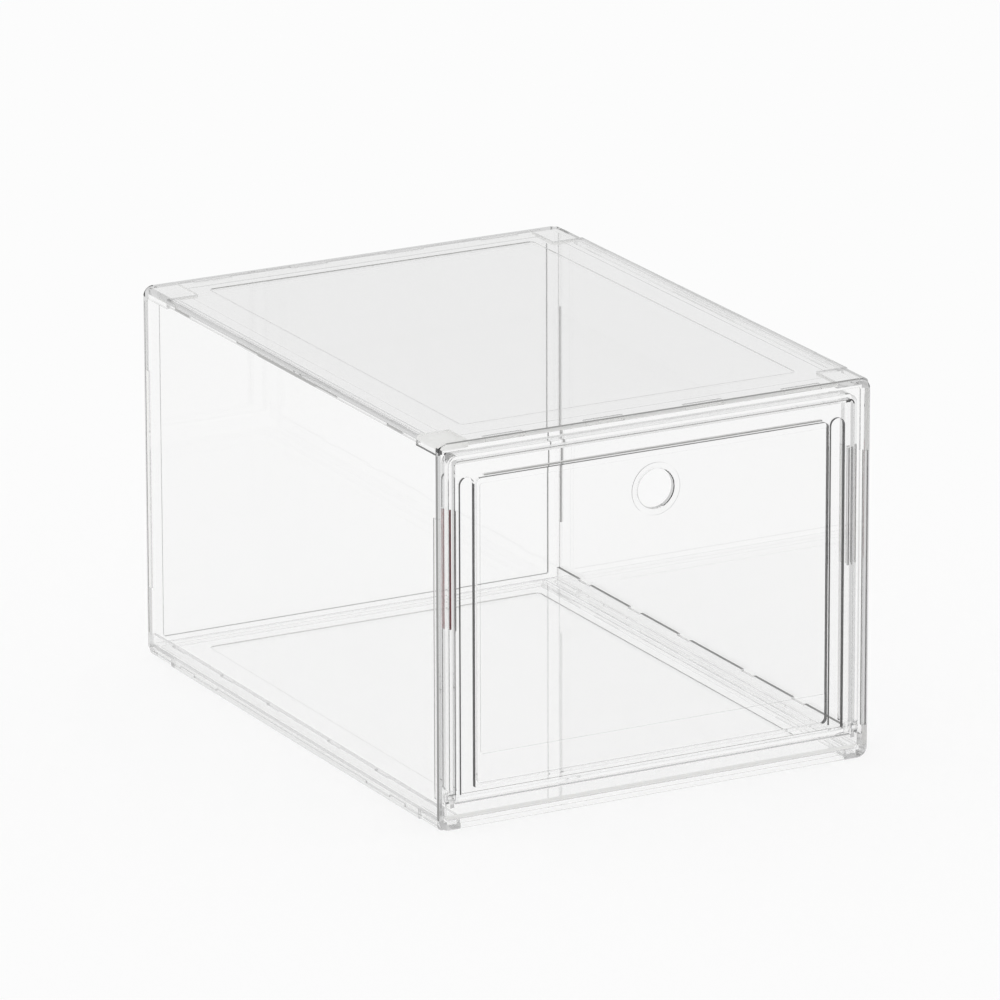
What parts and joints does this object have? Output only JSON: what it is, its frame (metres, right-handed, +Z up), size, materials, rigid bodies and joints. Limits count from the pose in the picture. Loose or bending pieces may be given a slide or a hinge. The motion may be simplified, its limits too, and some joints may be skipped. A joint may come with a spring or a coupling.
{
  "type": "clear storage box",
  "caption": "Clear stackable display box made of snapped-together panels, with a drop-front door that has a round finger hole, turns on pins along its bottom edge and is held shut by magnets.",
  "frame": {"origin": "on the floor under the middle of the box", "axes": "+Z up, the door faces -Y, +X is the width to the right as seen from the front"},
  "size_m": [0.27, 0.358, 0.22],
  "materials": {
    "clear_plastic": "clear, polished",
    "magnet": "dark red-brown, satin",
    "steel_strip": "plain sheet steel"
  },
  "bodies": {
    "case": {"front_frame": "clear_plastic", "back_panel": "clear_plastic", "top_panel": "clear_plastic", "bottom_panel": "clear_plastic", "left_panel": "clear_plastic", "right_panel": "clear_plastic", "left_magnet": "magnet", "right_magnet": "magnet"},
    "door": {"door": "clear_plastic", "left_door_strip": "steel_strip", "right_door_strip": "steel_strip"}
  },
  "joints": [
    {"name": "door_hinge", "type": "hinge", "parent": "case", "child": "door", "pos_m": [0, -0.17575, 0.01795], "axis": [1, 0, 0], "range_deg": [0, 90]}
  ]
}
